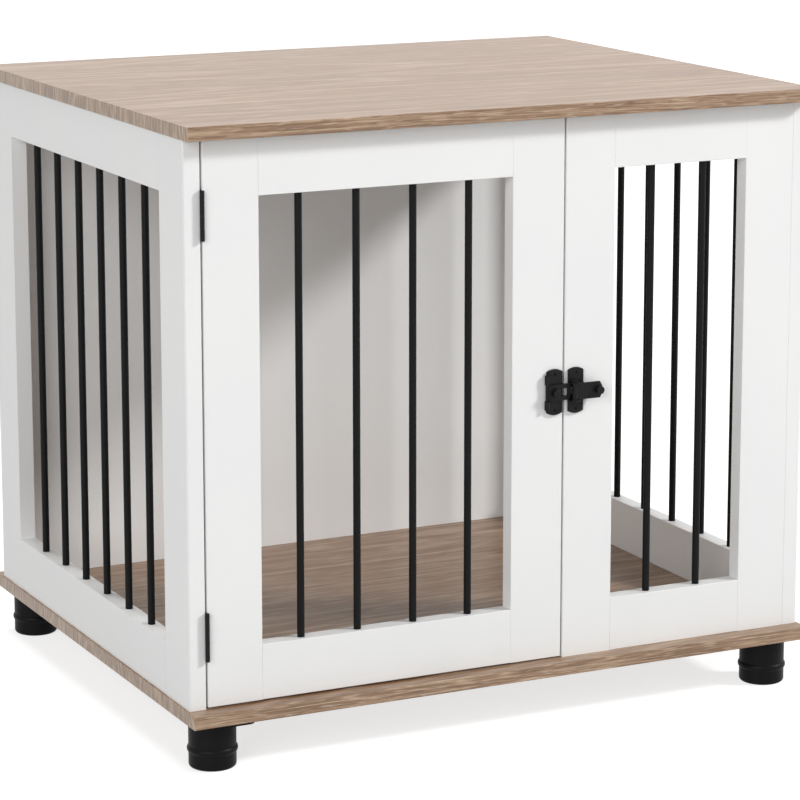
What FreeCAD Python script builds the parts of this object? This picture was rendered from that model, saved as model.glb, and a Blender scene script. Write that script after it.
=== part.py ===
import FreeCAD, Part
import os
import math

# Dog crate end table: two wood-look boards, two barred side frames, a closed back, a fixed barred
# panel and a barred door with two butt hinges and a loop-and-lever latch, on four round legs.
# Millimetres. X runs left to right, Y from the front (-) to the back (+), Z up from the floor.
# The origin is on the floor under the middle of the boards.

# ---- boards -------------------------------------------------------------------------------
BOARD_W = 600.0
BOARD_D = 500.0
BOARD_T = 12.0
BAND_T = 1.0
BAND_ARRIS = 0.7
SIDE_OVERHANG = 2.0
FRONT_OVERHANG = 15.0
REAR_OVERHANG = 15.0

# ---- frames -------------------------------------------------------------------------------
BODY_H = 479.0
FRAME_T = 15.0
SIDE_STILE_W = 52.0
SIDE_RAIL_W = 48.0
PANEL_W = 228.0
PANEL_STILE_W = 48.0
PANEL_RAIL_W = 48.0
DOOR_STILE_W = 49.5
DOOR_RAIL_W = 48.0
BACK_T = 12.0
CORNER_ARRIS = 1.6
ARRIS = 0.5
LATCH_GAP = 2.0
DOOR_GAP = 1.5

# ---- rods ---------------------------------------------------------------------------------
ROD_D = 6.4
ROD_SEAT = 10.0
ROD_PLAY = 0.1
ROD_END_PLAY = 0.5
ROD_MARGIN = 30.0
SIDE_ROD_PITCH = 53.0
DOOR_ROD_PITCH = 52.6
PANEL_ROD_PITCH = 51.4

# ---- dowels -------------------------------------------------------------------------------
DOWEL_D = 6.0
DOWEL_SEAT = 15.0
DOWEL_PLAY = 0.05
DOWEL_END_PLAY = 0.4
DOWEL_FROM_EDGE = 12.0
DOWEL_CHAMFER = 0.8
EDGE_DOWEL_SEAT = 9.0
EDGE_DOWEL_FROM_END = 90.0

# ---- cam fittings that hold the top board --------------------------------------------------
CAM_D = 15.0
CAM_SKIN = 4.0
CAM_DROP = 24.0
CAM_PLAY = 0.15
CAM_SLOT_W = 2.0
CAM_SLOT_DEPTH = 2.5
SIDE_CAM_INSET = 63.0
PANEL_CAM_INSET = 21.0
STUD_THREAD_D = 5.0
STUD_NECK_D = 4.0
STUD_HEAD_D = 6.4
STUD_HEAD_L = 2.6
BOARD_SKIN = 3.0

# ---- wood screws ------------------------------------------------------------------------------
BASE_SCREW_HEAD_D = 7.6
BASE_SCREW_D = 3.9
BASE_SCREW_L = 38.0
LEG_SCREW_HEAD_D = 6.4
LEG_SCREW_D = 3.2
LEG_SCREW_SKIN = 3.8
HINGE_SCREW_HEAD_D = 4.8
HINGE_SCREW_D = 2.2
HINGE_SCREW_L = 12.0
LATCH_SCREW_HEAD_D = 4.6
LATCH_SCREW_D = 2.2
LATCH_SCREW_L = 11.0
SCREW_PLAY = 0.05
SCREW_CONE = 0.62
SCREW_POINT = 1.6
RECESS_REACH = 0.62
RECESS_W = 0.16
RECESS_DEPTH = 0.22
SIDE_SCREW_INSET = 33.0
BACK_SCREW_INSET = 123.0

# ---- hinges ---------------------------------------------------------------------------------
HINGE_L = 41.0
HINGE_FROM_DOOR_END = 61.0
HINGE_KNUCKLES = 6
KNUCKLE_D = 3.8
KNUCKLE_GAP = 0.2
KNUCKLE_STANDOFF = 0.2
LEAF_T = 0.9
LEAF_CLEAR = 0.1
LEAF_FROM_BACK = 2.0
PIN_D = 2.0
PIN_PLAY = 0.05
PIN_HEAD_D = 3.6
PIN_HEAD_L = 0.3
HINGE_SCREW_FROM_SIDE = 6.0
HINGE_SCREW_FROM_END = 8.5

# ---- latch ----------------------------------------------------------------------------------
PLATE_H = 40.4
PLATE_T = 2.5
PLATE_END_R = 14.0
PLATE_ARRIS = 0.5
LOOP_PLATE_W = 17.3
LOOP_PLATE_INSET = 1.4
BASE_PLATE_W = 14.5
BASE_PLATE_INSET = 2.8
PLATE_SCREW_FROM_END = 4.2
LOOP_KNUCKLE_D = 4.8
LOOP_BARREL_D = 3.2
LOOP_STANDOFF = 0.1
LOOP_H = 14.0
LOOP_BAR = 3.4
LOOP_CROSSBAR = 2.8
LOOP_CLEAR = 0.3
LOOP_HUB = 10.5
LOOP_CORNER = 2.0
LOOP_WINDOW_CORNER = 0.8
LATCH_PIN_D = 2.0
LATCH_PIN_FIT = 0.02
LATCH_SIDE_PLAY = 0.2
LUG_FROM_PLATE_END = 5.0
KNOB_D = 7.2
KNOB_H = 4.6
KNOB_NECK_D = 4.8
KNOB_NECK_H = 1.2
KNOB_ARRIS = 0.6
KNOB_TENON_D = 2.4
LOOP_KNOB_FROM_AXIS = 6.9
LEVER_BARREL_D = 5.2
LEVER_CHEEK_D = 9.0
LEVER_CHEEK_T = 1.1
LEVER_ARM_T = 2.2
LEVER_ARM_H = 14.3
LEVER_REACH = 27.8
LEVER_TIP = 3.6
LEVER_ROOT = 7.7
LEVER_KNOB_FROM_TIP = 5.2
LEVER_FROM_PLATE_MIDDLE = 3.65
EAR_W = 4.8
EAR_T = 1.4

# ---- legs -----------------------------------------------------------------------------------
LEG_H = 42.5
LEG_D = 40.6
LEG_WALL = 3.0
LEG_FLOOR_T = 6.0
LEG_BOTTOM_R = 3.0
LEG_INSET_X = 28.3
LEG_INSET_Y = 30.1
BEAD_STANDS = 1.3
BEAD_H = 6.0
BEAD_FROM_FLOOR = 16.0
LEG_BOSS_D = 14.0
LEG_TAB_T = 4.8
LEG_TAB_BEYOND = 12.2
LEG_TAB_R = 7.0
LEG_SCREW_FROM_SIDE = 5.7
LEG_SCREW_SPREAD = 10.0
LEG_BOLT_D = 6.0
LEG_BOLT_IN_LEG = 22.0
LEG_BOLT_PLAY = 0.1

# ---- not sizes of the table: cutter overrun, same-place tolerance, turns in degrees -----------
TOOL_EXTRA = 1.0
SAME_PLACE = 1e-6
QUARTER_TURN = 90
WHOLE_TURN = 360

# ---- places that follow from the sizes -------------------------------------------------------
LEFT = -BOARD_W / 2
FRONT = -BOARD_D / 2
BASE_Z = LEG_H
FLOOR_Z = BASE_Z + BOARD_T
CEILING_Z = FLOOR_Z + BODY_H
OUTER_X = BOARD_W / 2 - SIDE_OVERHANG
INNER_X = OUTER_X - FRAME_T
FACE_Y = FRONT + FRONT_OVERHANG
INSIDE_Y = FACE_Y + FRAME_T
REAR_Y = BOARD_D / 2 - REAR_OVERHANG
BACK_Y = REAR_Y - BACK_T
FRAME_MID_Y = FACE_Y + FRAME_T / 2
SIDE_MID_X = INNER_X + FRAME_T / 2
CAM_T = FRAME_T - CAM_SKIN
STUD_THREAD_L = BOARD_T - BOARD_SKIN
LEG_BOLT_IN_BOARD = BOARD_T - BOARD_SKIN
LEG_SCREW_L = LEG_TAB_T + BOARD_T - LEG_SCREW_SKIN
LEG_SCREW_FROM_CENTRE = LEG_D / 2 + LEG_SCREW_FROM_SIDE
LEG_TAB_REACH = LEG_D / 2 + LEG_TAB_BEYOND
BEAD_D = LEG_D + 2 * BEAD_STANDS
HINGE_GAP = 2 * (LEAF_T + LEAF_CLEAR)
LEAF_W = FRAME_T - LEAF_FROM_BACK
HINGE_SCREW_INSET = LEAF_W - HINGE_SCREW_FROM_SIDE
HINGE_SCREW_FROM_MIDDLE = HINGE_L / 2 - HINGE_SCREW_FROM_END
DOOR_X0 = -INNER_X + HINGE_GAP
PANEL_X0 = INNER_X - PANEL_W
DOOR_X1 = PANEL_X0 - LATCH_GAP
DOOR_Z0 = FLOOR_Z + DOOR_GAP
DOOR_Z1 = CEILING_Z - DOOR_GAP
HINGE_X = -INNER_X + HINGE_GAP / 2
HINGE_Y = FACE_Y - KNUCKLE_STANDOFF - KNUCKLE_D / 2
LATCH_Z = (DOOR_Z0 + DOOR_Z1) / 2
LOOP_AXIS_X = DOOR_X1 - LOOP_PLATE_INSET - LOOP_PLATE_W + LOOP_KNUCKLE_D / 2
LOOP_AXIS_Y = FACE_Y - LOOP_STANDOFF - LOOP_KNUCKLE_D / 2
BASE_PLATE_X = PANEL_X0 + BASE_PLATE_INSET + BASE_PLATE_W / 2
LEVER_AXIS_X = BASE_PLATE_X - LEVER_FROM_PLATE_MIDDLE
LEVER_AXIS_Y = FACE_Y - PLATE_T - LOOP_CLEAR - LEVER_CHEEK_D / 2
LOOP_REACH = LEVER_AXIS_X - LEVER_BARREL_D / 2 - LOOP_CLEAR - LOOP_AXIS_X
LOOP_LUG_H = (PLATE_H - LOOP_H) / 2 - LATCH_SIDE_PLAY - LUG_FROM_PLATE_END
PLATE_SCREW_FROM_MIDDLE = PLATE_H / 2 - PLATE_SCREW_FROM_END

# ---- each screw as head diameter, shank diameter and length ------------------------------------
BASE_SCREW = (BASE_SCREW_HEAD_D, BASE_SCREW_D, BASE_SCREW_L)
LEG_SCREW = (LEG_SCREW_HEAD_D, LEG_SCREW_D, LEG_SCREW_L)
HINGE_SCREW = (HINGE_SCREW_HEAD_D, HINGE_SCREW_D, HINGE_SCREW_L)
LATCH_SCREW = (LATCH_SCREW_HEAD_D, LATCH_SCREW_D, LATCH_SCREW_L)

UP = FreeCAD.Vector(0, 0, 1)
TO_BACK = FreeCAD.Vector(0, 1, 0)
TO_FRONT = FreeCAD.Vector(0, -1, 0)
TO_RIGHT = FreeCAD.Vector(1, 0, 0)
TO_LEFT = FreeCAD.Vector(-1, 0, 0)
AXES = {"x": TO_RIGHT, "y": TO_BACK, "z": UP}


def point(x, y, z):
    return FreeCAD.Vector(x, y, z)


def box(lo, hi):
    size = [b - a for a, b in zip(lo, hi)]
    return Part.makeBox(size[0], size[1], size[2], point(*lo))


def rod(start, direction, diameter, length):
    return Part.makeCylinder(diameter / 2, length, start, direction)


def long_edges(solid, axis, corners):
    """The edges along one axis that lie at the named corners, each a pair of signs across the bar."""
    across = [k for k in "xyz" if k != axis]
    middle = solid.BoundBox.Center
    found = []
    for edge in solid.Edges:
        run = edge.Vertexes[-1].Point.sub(edge.Vertexes[0].Point)
        if abs(abs(run.dot(AXES[axis])) - run.Length) > SAME_PLACE:
            continue
        at = edge.CenterOfMass
        signs = tuple(1 if getattr(at, k) > getattr(middle, k) else -1 for k in across)
        if signs in corners:
            found.append(edge)
    return found


def bar(lo, hi, axis, round_corners=()):
    """A straight wooden member with a light arris, and a larger one at the corners named."""
    solid = box(lo, hi)
    every = [(a, b) for a in (-1, 1) for b in (-1, 1)]
    light = [c for c in every if c not in round_corners]
    if round_corners:
        solid = solid.makeFillet(CORNER_ARRIS, long_edges(solid, axis, round_corners))
    return solid.makeFillet(ARRIS, long_edges(solid, axis, light))


def cut_all(solid, tools):
    return solid.cut(Part.makeCompound(tools)) if tools else solid


def in_box(solids, target):
    """The solids whose boxes meet the target's box, so each piece is cut only where it is drilled."""
    return [s for s in solids if s.BoundBox.intersect(target.BoundBox)]


def drilled(solid, tools):
    return cut_all(solid, in_box(tools, solid))


def revolved(profile, centre):
    """A solid turned about the vertical line through centre from (radius, height) points and arcs."""
    edges = []
    for start, end, middle in profile:
        a = centre.add(point(start[0], 0, start[1]))
        b = centre.add(point(end[0], 0, end[1]))
        if middle is None:
            edges.append(Part.LineSegment(a, b).toShape())
        else:
            m = centre.add(point(middle[0], 0, middle[1]))
            edges.append(Part.Arc(a, m, b).toShape())
    return Part.Face(Part.Wire(edges)).revolve(centre, UP, WHOLE_TURN)


def screw(spec, head_at, direction, play=0.0):
    """A countersunk wood screw, its head flush at head_at, or the hole for it when play is given."""
    head_d, shank_d, length = spec
    head_r = head_d / 2 + play
    shank_r = shank_d / 2 + play
    cone = (head_d - shank_d) * SCREW_CONE
    straight = length - cone - SCREW_POINT
    head = Part.makeCone(head_r, shank_r, cone, head_at, direction)
    shank = Part.makeCylinder(shank_r, straight + play, head_at + direction * cone, direction)
    tip = Part.makeCone(shank_r, 0, SCREW_POINT, head_at + direction * (cone + straight + play), direction)
    solid = head.fuse([shank, tip]).removeSplitter()
    if play:
        return solid
    return solid.cut(cross_recess(head_d, head_at, direction))


def cross_recess(head_d, at, direction):
    """The cross for the driver: two crossed slots in the head."""
    reach = head_d * RECESS_REACH
    width = head_d * RECESS_W
    depth = head_d * RECESS_DEPTH
    slots = []
    for size in ((reach, width), (width, reach)):
        slot = Part.makeBox(size[0], size[1], depth, point(-size[0] / 2, -size[1] / 2, 0))
        slot.Placement = FreeCAD.Placement(at, FreeCAD.Rotation(UP, direction)).multiply(slot.Placement)
        slots.append(slot)
    return slots[0].fuse(slots[1])


def dowel(middle, axis, seat_a, seat_b, play=0.0):
    """A round dowel with chamfered ends that spans a joint, or its hole when play is given."""
    direction = AXES[axis]
    end_play = 0.0 if play else DOWEL_END_PLAY
    length = seat_a + seat_b - 2 * end_play
    start = middle - direction * (seat_a - end_play)
    solid = rod(start, direction, DOWEL_D + 2 * play, length)
    if play:
        return solid
    rims = [e for e in solid.Edges if e.Curve.TypeId == "Part::GeomCircle"]
    return solid.makeChamfer(DOWEL_CHAMFER, rims)


# ---- where things go ---------------------------------------------------------------------------
def rod_row(start, end, pitch):
    """Centres of the rods that fill an opening from start to end, evenly about its middle."""
    spaces = int((end - start - 2 * ROD_MARGIN) // pitch)
    middle = (start + end) / 2
    return [middle + (k - spaces / 2) * pitch for k in range(spaces + 1)]


def frame_members(start, end, stile_w, rail_w, z0, z1):
    """Boxes of two stiles and two rails, as spans along the frame and in height."""
    return {
        "first_stile": ((start, start + stile_w), (z0, z1)),
        "second_stile": ((end - stile_w, end), (z0, z1)),
        "top_rail": ((start + stile_w, end - stile_w), (z1 - rail_w, z1)),
        "bottom_rail": ((start + stile_w, end - stile_w), (z0, z0 + rail_w)),
    }


SIDE = frame_members(FACE_Y, REAR_Y, SIDE_STILE_W, SIDE_RAIL_W, FLOOR_Z, CEILING_Z)
PANEL = frame_members(PANEL_X0, INNER_X, PANEL_STILE_W, PANEL_RAIL_W, FLOOR_Z, CEILING_Z)
DOOR = frame_members(DOOR_X0, DOOR_X1, DOOR_STILE_W, DOOR_RAIL_W, DOOR_Z0, DOOR_Z1)


def rods_of(frame, pitch, place):
    """The rods of one frame: each stands in a blind hole in the bottom rail and ends in the top one."""
    (start, end), (z0, z1) = frame["top_rail"]
    bottom = frame["bottom_rail"][1][1] - ROD_SEAT
    length = z0 + ROD_SEAT - ROD_END_PLAY - bottom
    return [rod(place(at, bottom), UP, ROD_D, length) for at in rod_row(start, end, pitch)]


def rod_holes(frame, pitch, place):
    (start, end), (z0, z1) = frame["top_rail"]
    bottom = frame["bottom_rail"][1][1] - ROD_SEAT
    length = z0 + ROD_SEAT - bottom
    return [rod(place(at, bottom), UP, ROD_D + 2 * ROD_PLAY, length)
            for at in rod_row(start, end, pitch)]


def joint_dowels(frame, axis, place, play=0.0):
    """Two dowels in each of the four butt joints between rails and stiles."""
    made = []
    for rail in ("top_rail", "bottom_rail"):
        (start, end), (z0, z1) = frame[rail]
        for at in (start, end):
            for z in (z0 + DOWEL_FROM_EDGE, z1 - DOWEL_FROM_EDGE):
                made.append(dowel(place(at, z), axis, DOWEL_SEAT, DOWEL_SEAT, play))
    return made


def on_side(x):
    return lambda along, z: point(x, along, z)


def on_front(along, z):
    return point(along, FRAME_MID_Y, z)


def edge_dowel_heights():
    return (FLOOR_Z + EDGE_DOWEL_FROM_END, (FLOOR_Z + CEILING_Z) / 2, CEILING_Z - EDGE_DOWEL_FROM_END)


def back_dowels(play=0.0):
    """Dowels between the back panel's edges and the rear stiles."""
    return [dowel(point(side * INNER_X, BACK_Y + BACK_T / 2, z), "x", EDGE_DOWEL_SEAT, EDGE_DOWEL_SEAT, play)
            for side in (-1, 1) for z in edge_dowel_heights()]


def panel_dowels(play=0.0):
    """Dowels between the fixed panel's outer edge and the right side frame."""
    return [dowel(point(INNER_X, FRAME_MID_Y, z), "x", EDGE_DOWEL_SEAT, EDGE_DOWEL_SEAT, play)
            for z in edge_dowel_heights()]


def cam_places():
    """Middle of each cam's visible face, with the direction into the wood."""
    cam_z = CEILING_Z - CAM_DROP
    side_start, side_end = SIDE["top_rail"][0]
    panel_start, panel_end = PANEL["top_rail"][0]
    places = []
    for side, inward in ((-1, TO_LEFT), (1, TO_RIGHT)):
        for y in (side_start + SIDE_CAM_INSET, side_end - SIDE_CAM_INSET):
            places.append((point(side * INNER_X, y, cam_z), inward))
    for x in (panel_start + PANEL_CAM_INSET, panel_end - PANEL_CAM_INSET):
        places.append((point(x, INSIDE_Y, cam_z), TO_FRONT))
    return places


def stud_at(face, inward):
    return face + inward * (FRAME_T / 2)


def cam_bores():
    bores = []
    for face, inward in cam_places():
        bores.append(rod(face, inward, CAM_D + 2 * CAM_PLAY, CAM_T + CAM_PLAY))
        bores.append(rod(stud_at(face, inward), UP, STUD_HEAD_D + 2 * CAM_PLAY, CAM_DROP))
    return bores


def stud_bores():
    return [rod(stud_at(face, inward) + UP * CAM_DROP, UP, STUD_THREAD_D + 2 * DOWEL_PLAY,
                STUD_THREAD_L + DOWEL_END_PLAY) for face, inward in cam_places()]


def cam_locks():
    """Round cams let into the inner faces, hollowed for the stud's head, with a driver slot."""
    made = []
    for face, inward in cam_places():
        disc = rod(face, inward, CAM_D, CAM_T)
        hollow = rod(stud_at(face, inward) - UP * (STUD_HEAD_L + CAM_PLAY), UP,
                     STUD_HEAD_D + 2 * CAM_PLAY, CAM_D)
        slot = Part.makeBox(CAM_D, CAM_SLOT_W, CAM_SLOT_DEPTH,
                            point(-CAM_D / 2, -CAM_SLOT_W / 2, 0))
        slot.Placement = FreeCAD.Placement(face, FreeCAD.Rotation(UP, inward)).multiply(slot.Placement)
        made.append(disc.cut(hollow).cut(slot))
    return made


def cam_studs():
    """Steel studs screwed up into the top board, each with a neck and a head that its cam grips."""
    made = []
    for face, inward in cam_places():
        low = stud_at(face, inward) - UP * STUD_HEAD_L
        head = rod(low, UP, STUD_HEAD_D, STUD_HEAD_L)
        neck = rod(low, UP, STUD_NECK_D, STUD_HEAD_L + CAM_DROP)
        collar = rod(low + UP * (STUD_HEAD_L + CAM_D / 2), UP, STUD_HEAD_D, CAM_DROP - CAM_D / 2)
        thread = rod(low + UP * (STUD_HEAD_L + CAM_DROP), UP, STUD_THREAD_D, STUD_THREAD_L)
        made.append(head.fuse([neck, collar, thread]).removeSplitter())
    return made


def base_screws(play=0.0):
    """Screws driven up through the base board into the side rails, the back and the panel's stiles."""
    start, end = SIDE["bottom_rail"][0]
    places = []
    for side in (-1, 1):
        for y in (start + SIDE_SCREW_INSET, (start + end) / 2, end - SIDE_SCREW_INSET):
            places.append(point(side * SIDE_MID_X, y, BASE_Z))
        places.append(point(side * (INNER_X - BACK_SCREW_INSET), BACK_Y + BACK_T / 2, BASE_Z))
    for stile in ("first_stile", "second_stile"):
        places.append(point(sum(PANEL[stile][0]) / 2, FRAME_MID_Y, BASE_Z))
    return [screw(BASE_SCREW, at, UP, play) for at in places]


# ---- hinges --------------------------------------------------------------------------------------
def hinge_middles():
    return {"upper": DOOR_Z1 - HINGE_FROM_DOOR_END, "lower": DOOR_Z0 + HINGE_FROM_DOOR_END}


def leaf(middle_z, side):
    """One hinge leaf: side -1 is screwed to the side frame and side 1 to the door."""
    first = 0 if side < 0 else 1
    wood_x = HINGE_X + side * HINGE_GAP / 2
    near_x = wood_x - side * LEAF_T
    x0, x1 = sorted((wood_x, near_x))
    z0 = middle_z - HINGE_L / 2
    pitch = HINGE_L / HINGE_KNUCKLES
    plate_y = HINGE_Y + KNUCKLE_D / 2 + KNUCKLE_GAP
    solid = box((x0, plate_y, z0), (x1, FACE_Y + LEAF_W, z0 + HINGE_L))
    parts = []
    for k in range(first, HINGE_KNUCKLES, 2):
        low = z0 + k * pitch + KNUCKLE_GAP / 2
        high = low + pitch - KNUCKLE_GAP
        parts.append(rod(point(HINGE_X, HINGE_Y, low), UP, KNUCKLE_D, high - low))
        parts.append(box((x0, HINGE_Y, low), (x1, plate_y, high)))
    solid = solid.fuse(parts).removeSplitter()
    bore = rod(point(HINGE_X, HINGE_Y, z0 - TOOL_EXTRA), UP, PIN_D + 2 * PIN_PLAY, HINGE_L + 2 * TOOL_EXTRA)
    return cut_all(solid, [bore] + hinge_screws(side, SCREW_PLAY, (middle_z,)))


def hinge_pin(middle_z):
    """The pin through the knuckles, with a small head at each end."""
    low = middle_z - HINGE_L / 2
    pin = rod(point(HINGE_X, HINGE_Y, low - PIN_HEAD_L), UP, PIN_D, HINGE_L + 2 * PIN_HEAD_L)
    foot = rod(point(HINGE_X, HINGE_Y, low - PIN_HEAD_L), UP, PIN_HEAD_D, PIN_HEAD_L)
    head = rod(point(HINGE_X, HINGE_Y, low + HINGE_L), UP, PIN_HEAD_D, PIN_HEAD_L)
    return pin.fuse([foot, head]).removeSplitter()


def hinge_screws(side, play=0.0, middles=None):
    """Two screws through each leaf, flush with the leaf's face in the gap."""
    head_x = HINGE_X + side * (HINGE_GAP / 2 - LEAF_T)
    direction = TO_RIGHT if side > 0 else TO_LEFT
    made = []
    for middle_z in middles or hinge_middles().values():
        for z in (middle_z - HINGE_SCREW_FROM_MIDDLE, middle_z + HINGE_SCREW_FROM_MIDDLE):
            at = point(head_x, FACE_Y + HINGE_SCREW_INSET, z)
            made.append(screw(HINGE_SCREW, at, direction, play))
    return made


# ---- latch ---------------------------------------------------------------------------------------
def plate_blank(x0, x1):
    """A flat latch plate with bowed ends, its back on the front face."""
    rise = PLATE_END_R - math.sqrt(PLATE_END_R ** 2 - ((x1 - x0) / 2) ** 2)
    high = LATCH_Z + PLATE_H / 2
    low = LATCH_Z - PLATE_H / 2
    middle = (x0 + x1) / 2
    edges = [
        Part.LineSegment(point(x0, FACE_Y, low + rise), point(x0, FACE_Y, high - rise)).toShape(),
        Part.Arc(point(x0, FACE_Y, high - rise), point(middle, FACE_Y, high),
                 point(x1, FACE_Y, high - rise)).toShape(),
        Part.LineSegment(point(x1, FACE_Y, high - rise), point(x1, FACE_Y, low + rise)).toShape(),
        Part.Arc(point(x1, FACE_Y, low + rise), point(middle, FACE_Y, low),
                 point(x0, FACE_Y, low + rise)).toShape(),
    ]
    solid = Part.Face(Part.Wire(edges)).extrude(point(0, -PLATE_T, 0))
    front = [e for e in solid.Edges if abs(e.CenterOfMass.y - (FACE_Y - PLATE_T)) < SAME_PLACE]
    return solid.makeFillet(PLATE_ARRIS, front)


def latch_screws(middle_x, play=0.0):
    return [screw(LATCH_SCREW, point(middle_x, FACE_Y - PLATE_T, LATCH_Z + side * PLATE_SCREW_FROM_MIDDLE),
                  TO_BACK, play) for side in (-1, 1)]


def loop_screw_x():
    return DOOR_X1 - LOOP_PLATE_INSET - (LOOP_PLATE_W - LOOP_KNUCKLE_D / 2) / 2


def loop_plate():
    """Plate on the door's stile: its left edge carries two lugs that hold the loop's pin."""
    right = DOOR_X1 - LOOP_PLATE_INSET
    solid = plate_blank(LOOP_AXIS_X, right)
    half = LOOP_H / 2 + LATCH_SIDE_PLAY
    lugs = [rod(point(LOOP_AXIS_X, LOOP_AXIS_Y, low), UP, LOOP_KNUCKLE_D, LOOP_LUG_H)
            for low in (LATCH_Z - half - LOOP_LUG_H, LATCH_Z + half)]
    solid = solid.fuse(lugs)
    clear = LOOP_KNUCKLE_D / 2 + LOOP_CLEAR
    notch = box((LOOP_AXIS_X - clear, FACE_Y - LOOP_KNUCKLE_D - TOOL_EXTRA, LATCH_Z - half),
                (LOOP_AXIS_X + clear, FACE_Y + TOOL_EXTRA, LATCH_Z + half))
    bore = rod(point(LOOP_AXIS_X, LOOP_AXIS_Y, LATCH_Z - PLATE_H / 2), UP,
               LATCH_PIN_D + 2 * LATCH_PIN_FIT, PLATE_H)
    back = box((LOOP_AXIS_X - LOOP_KNUCKLE_D, FACE_Y, LATCH_Z - PLATE_H),
               (right, FACE_Y + LOOP_KNUCKLE_D, LATCH_Z + PLATE_H))
    tools = [notch, bore, back] + latch_screws(loop_screw_x(), SCREW_PLAY)
    return cut_all(solid, tools).removeSplitter()


def loop_pin():
    """The pin that the loop turns on, held in the two lugs."""
    half = LOOP_H / 2 + LATCH_SIDE_PLAY + LOOP_LUG_H
    return rod(point(LOOP_AXIS_X, LOOP_AXIS_Y, LATCH_Z - half), UP, LATCH_PIN_D, 2 * half)


def rounded_rectangle(x0, x1, z0, z1, y0, y1, radius):
    solid = box((x0, y0, z0), (x1, y1, z1))
    return solid.makeFillet(radius, long_edges(solid, "y", [(a, b) for a in (-1, 1) for b in (-1, 1)]))


def latch_loop():
    """The loop that reaches over the gap: a barrel on the pin, a hub, two bars and a crossbar."""
    back = FACE_Y - PLATE_T - LOOP_CLEAR
    front = LOOP_AXIS_Y - LOOP_KNUCKLE_D / 2
    half = LOOP_H / 2
    x1 = LOOP_AXIS_X + LOOP_REACH
    body = rounded_rectangle(LOOP_AXIS_X, x1, LATCH_Z - half, LATCH_Z + half, front, back, LOOP_CORNER)
    window = rounded_rectangle(LOOP_AXIS_X + LOOP_HUB, x1 - LOOP_CROSSBAR, LATCH_Z - half + LOOP_BAR,
                               LATCH_Z + half - LOOP_BAR, front - TOOL_EXTRA, back + TOOL_EXTRA,
                               LOOP_WINDOW_CORNER)
    barrel = rod(point(LOOP_AXIS_X, LOOP_AXIS_Y, LATCH_Z - half), UP, LOOP_BARREL_D, LOOP_H)
    bore = rod(point(LOOP_AXIS_X, LOOP_AXIS_Y, LATCH_Z - half - TOOL_EXTRA), UP,
               LATCH_PIN_D + 2 * PIN_PLAY, LOOP_H + 2 * TOOL_EXTRA)
    seat = knob_seat(point(LOOP_AXIS_X + LOOP_KNOB_FROM_AXIS, front, LATCH_Z), back - front)
    return body.fuse(barrel).cut(window).cut(bore).cut(seat).removeSplitter()


def knob_seat(at, depth):
    return rod(at, TO_BACK, KNOB_TENON_D + 2 * LATCH_PIN_FIT, depth)


def finger_knob(at, depth):
    """A round finger knob on a short neck, riveted by a tenon into what it lifts."""
    neck = rod(at, TO_FRONT, KNOB_NECK_D, KNOB_NECK_H)
    head = rod(at + TO_FRONT * KNOB_NECK_H, TO_FRONT, KNOB_D, KNOB_H - KNOB_NECK_H)
    rims = [e for e in head.Edges if e.Curve.TypeId == "Part::GeomCircle"]
    head = head.makeFillet(KNOB_ARRIS, rims)
    tenon = rod(at, TO_BACK, KNOB_TENON_D, depth)
    return neck.fuse([head, tenon]).removeSplitter()


def loop_knob():
    back = FACE_Y - PLATE_T - LOOP_CLEAR
    front = LOOP_AXIS_Y - LOOP_KNUCKLE_D / 2
    return finger_knob(point(LOOP_AXIS_X + LOOP_KNOB_FROM_AXIS, front, LATCH_Z), back - front)


def cheek_half():
    return LOOP_H / 2 + LATCH_SIDE_PLAY + LEVER_CHEEK_T


def base_plate():
    """Plate on the fixed panel: two ears hold the lever's pin, with a window behind its barrel."""
    half_w = BASE_PLATE_W / 2
    solid = plate_blank(BASE_PLATE_X - half_w, BASE_PLATE_X + half_w)
    window_half = LOOP_H / 2 - LOOP_BAR
    window = rounded_rectangle(LEVER_AXIS_X - LEVER_BARREL_D / 2, LEVER_AXIS_X + LEVER_BARREL_D / 2,
                               LATCH_Z - window_half, LATCH_Z + window_half,
                               FACE_Y - PLATE_T - TOOL_EXTRA, FACE_Y + TOOL_EXTRA, LOOP_WINDOW_CORNER)
    ears = []
    for side in (-1, 1):
        z = LATCH_Z + side * (cheek_half() + LATCH_SIDE_PLAY)
        low = min(z, z + side * EAR_T)
        ears.append(box((LEVER_AXIS_X - EAR_W / 2, LEVER_AXIS_Y, low),
                        (LEVER_AXIS_X + EAR_W / 2, FACE_Y - PLATE_T / 2, low + EAR_T)))
        ears.append(rod(point(LEVER_AXIS_X, LEVER_AXIS_Y, low), UP, EAR_W, EAR_T))
    solid = solid.fuse(ears)
    bore = rod(point(LEVER_AXIS_X, LEVER_AXIS_Y, LATCH_Z - PLATE_H / 2), UP,
               LATCH_PIN_D + 2 * LATCH_PIN_FIT, PLATE_H)
    return cut_all(solid, [bore, window] + latch_screws(BASE_PLATE_X, SCREW_PLAY)).removeSplitter()


def lever_pin():
    half = cheek_half() + LATCH_SIDE_PLAY + EAR_T
    return rod(point(LEVER_AXIS_X, LEVER_AXIS_Y, LATCH_Z - half), UP, LATCH_PIN_D, 2 * half)


def lever_knob_x():
    return LEVER_AXIS_X + LEVER_REACH - LEVER_KNOB_FROM_TIP


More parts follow.
